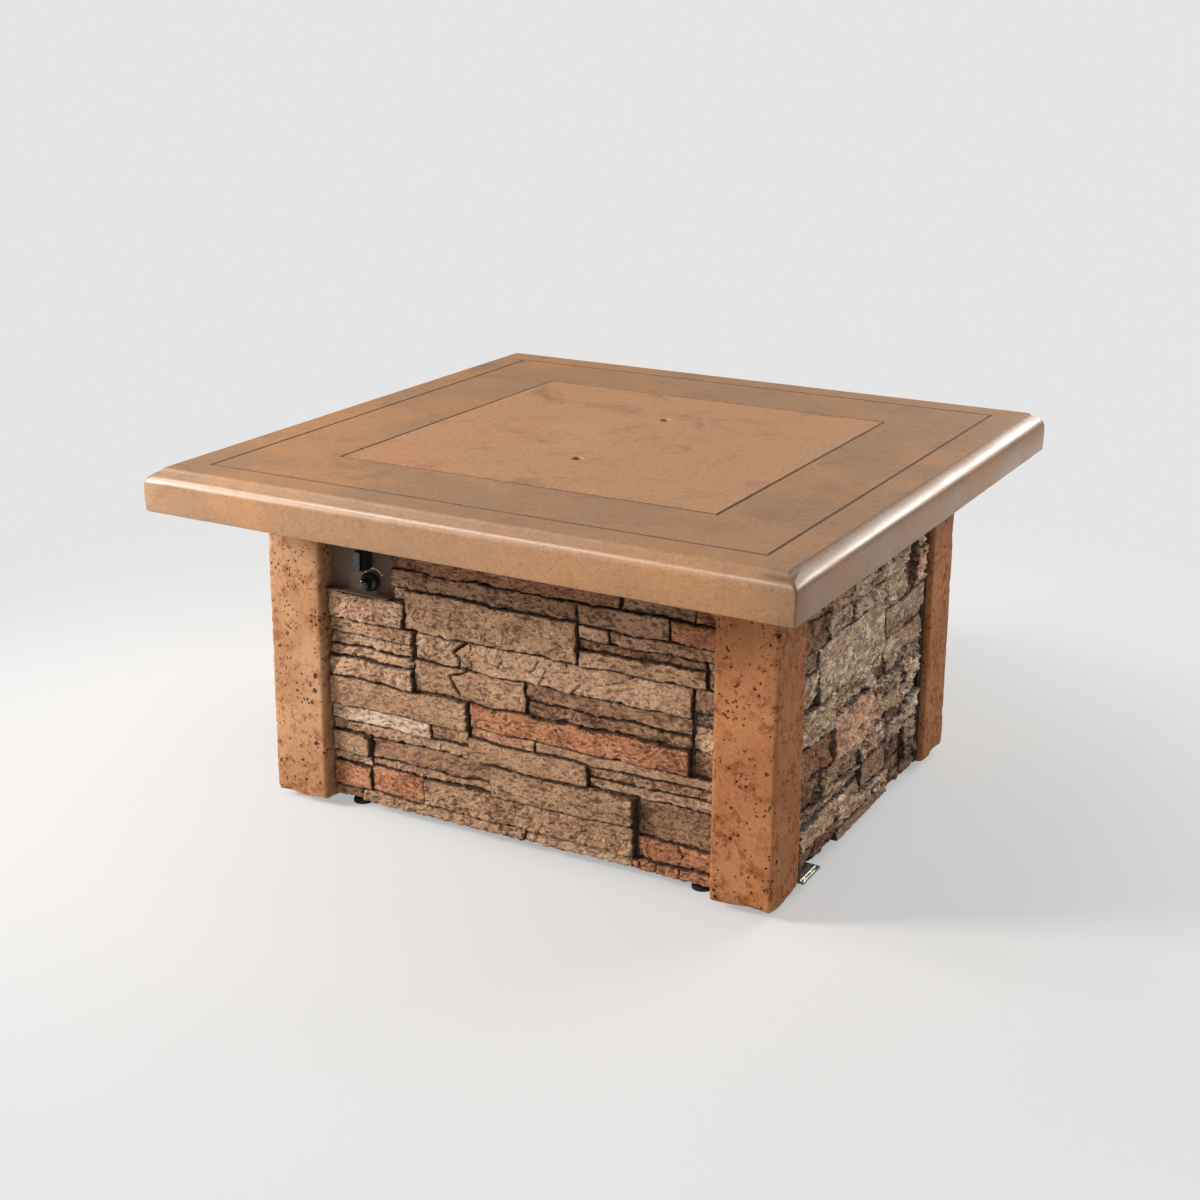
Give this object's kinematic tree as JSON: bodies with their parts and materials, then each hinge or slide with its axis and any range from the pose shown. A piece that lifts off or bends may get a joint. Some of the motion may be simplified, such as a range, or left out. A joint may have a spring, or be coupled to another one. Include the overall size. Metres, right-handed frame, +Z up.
{
  "type": "gas fire pit table",
  "caption": "Square gas fire table: cast top with a lift-out lid over a glass-filled burner, stacked-stone base with a tank door and a control niche.",
  "frame": {"origin": "on the floor under the middle of the table", "axes": "+Z up; the control niche is in the front side (-Y) and the tank door in the right side (+X)"},
  "size_m": [1.133, 1.133, 0.613],
  "materials": {
    "cast_top": "satin",
    "cast_lid": "satin",
    "cast_column": "matte",
    "ledgestone": "matte",
    "cement_board": "matte",
    "frame_steel": "satin",
    "dark_steel": "satin",
    "bronze_plate": "matte",
    "zinc_steel": "satin",
    "stainless": "satin",
    "brass": "satin",
    "die_cast": "matte",
    "aluminium_pipe": "satin",
    "copper_look": "satin",
    "black_gloss": "gloss",
    "black_plastic": "matte",
    "rubber": "matte",
    "lead_sleeve": "matte",
    "white_ceramic": "satin",
    "fire_glass": "gloss"
  },
  "bodies": {
    "base": {"table_top": "cast_top", "top_pads": "rubber", "frame_posts": "frame_steel", "frame_bottom_rails": "frame_steel", "frame_top_rails": "frame_steel", "column_front_left": "cast_column", "column_front_right": "cast_column", "column_back_left": "cast_column", "column_back_right": "cast_column", "front_backer": "cement_board", "back_backer": "cement_board", "left_backer": "cement_board", "front_stones": "ledgestone", "back_stones": "ledgestone", "left_stones": "ledgestone", "magnet_catch": "black_plastic", "lower_hinge_plate": "zinc_steel", "upper_hinge_plate": "zinc_steel", "hinge_washer": "brass", "hinge_bolts": "zinc_steel", "tank_tray": "frame_steel", "burner_pan": "stainless", "burner_ring": "stainless", "burner_hub": "brass", "hub_nut": "brass", "glass_bed": "fire_glass", "pilot_shield": "stainless", "pilot_bracket": "stainless", "pilot_burner": "stainless", "flame_probe": "copper_look", "spark_electrode": "white_ceramic", "gas_valve": "die_cast", "gas_inlet": "brass", "control_plate": "bronze_plate", "plate_screws": "zinc_steel", "valve_screws": "zinc_steel", "igniter_body": "black_plastic", "igniter_nut": "black_plastic", "burner_hose": "stainless", "pilot_line": "aluminium_pipe", "probe_lead": "copper_look", "spark_lead": "lead_sleeve", "foot_nuts": "zinc_steel"},
    "lid": {"burner_lid": "cast_lid", "lid_pads": "rubber"},
    "door": {"door_skin": "dark_steel", "door_frame": "frame_steel", "door_hinge_arms": "zinc_steel", "door_stones": "ledgestone", "strike_plate": "zinc_steel"},
    "stem": {"valve_stem": "brass"},
    "knob": {"control_knob": "black_gloss"},
    "button": {"igniter_button": "black_gloss"},
    "foot_fl": {"foot_front_left": "black_plastic"},
    "foot_fr": {"foot_front_right": "black_plastic"},
    "foot_bl": {"foot_back_left": "black_plastic"},
    "foot_br": {"foot_back_right": "black_plastic"}
  },
  "joints": [
    {"name": "lid_lift", "type": "slide", "parent": "base", "child": "lid", "axis": [0, 0, 1], "range_m": [0, 0.3]},
    {"name": "door_swing", "type": "hinge", "parent": "base", "child": "door", "pos_m": [0.458, -0.258, 0.27], "axis": [0, 0, -1], "range_deg": [0, 110]},
    {"name": "knob_push", "type": "slide", "parent": "base", "child": "stem", "axis": [0, 1, 0], "range_m": [0, 0.004], "stiffness_N_per_m": 1200, "springref_m": -0.002},
    {"name": "knob_turn", "type": "hinge", "parent": "stem", "child": "knob", "pos_m": [-0.276, -0.36, 0.413], "axis": [0, -1, 0], "range_deg": [0, 180]},
    {"name": "igniter_push", "type": "slide", "parent": "base", "child": "button", "axis": [0, 1, 0], "range_m": [0, 0.004], "stiffness_N_per_m": 700, "springref_m": -0.002},
    {"name": "foot_fl_turn", "type": "hinge", "parent": "base", "child": "foot_fl", "pos_m": [-0.3245, -0.3275, 0.01], "axis": [0, 0, 1], "continuous": true},
    {"name": "foot_fr_turn", "type": "hinge", "parent": "base", "child": "foot_fr", "pos_m": [0.3245, -0.3275, 0.01], "axis": [0, 0, 1], "continuous": true},
    {"name": "foot_bl_turn", "type": "hinge", "parent": "base", "child": "foot_bl", "pos_m": [-0.3245, 0.3275, 0.01], "axis": [0, 0, 1], "continuous": true},
    {"name": "foot_br_turn", "type": "hinge", "parent": "base", "child": "foot_br", "pos_m": [0.3245, 0.3275, 0.01], "axis": [0, 0, 1], "continuous": true}
  ]
}
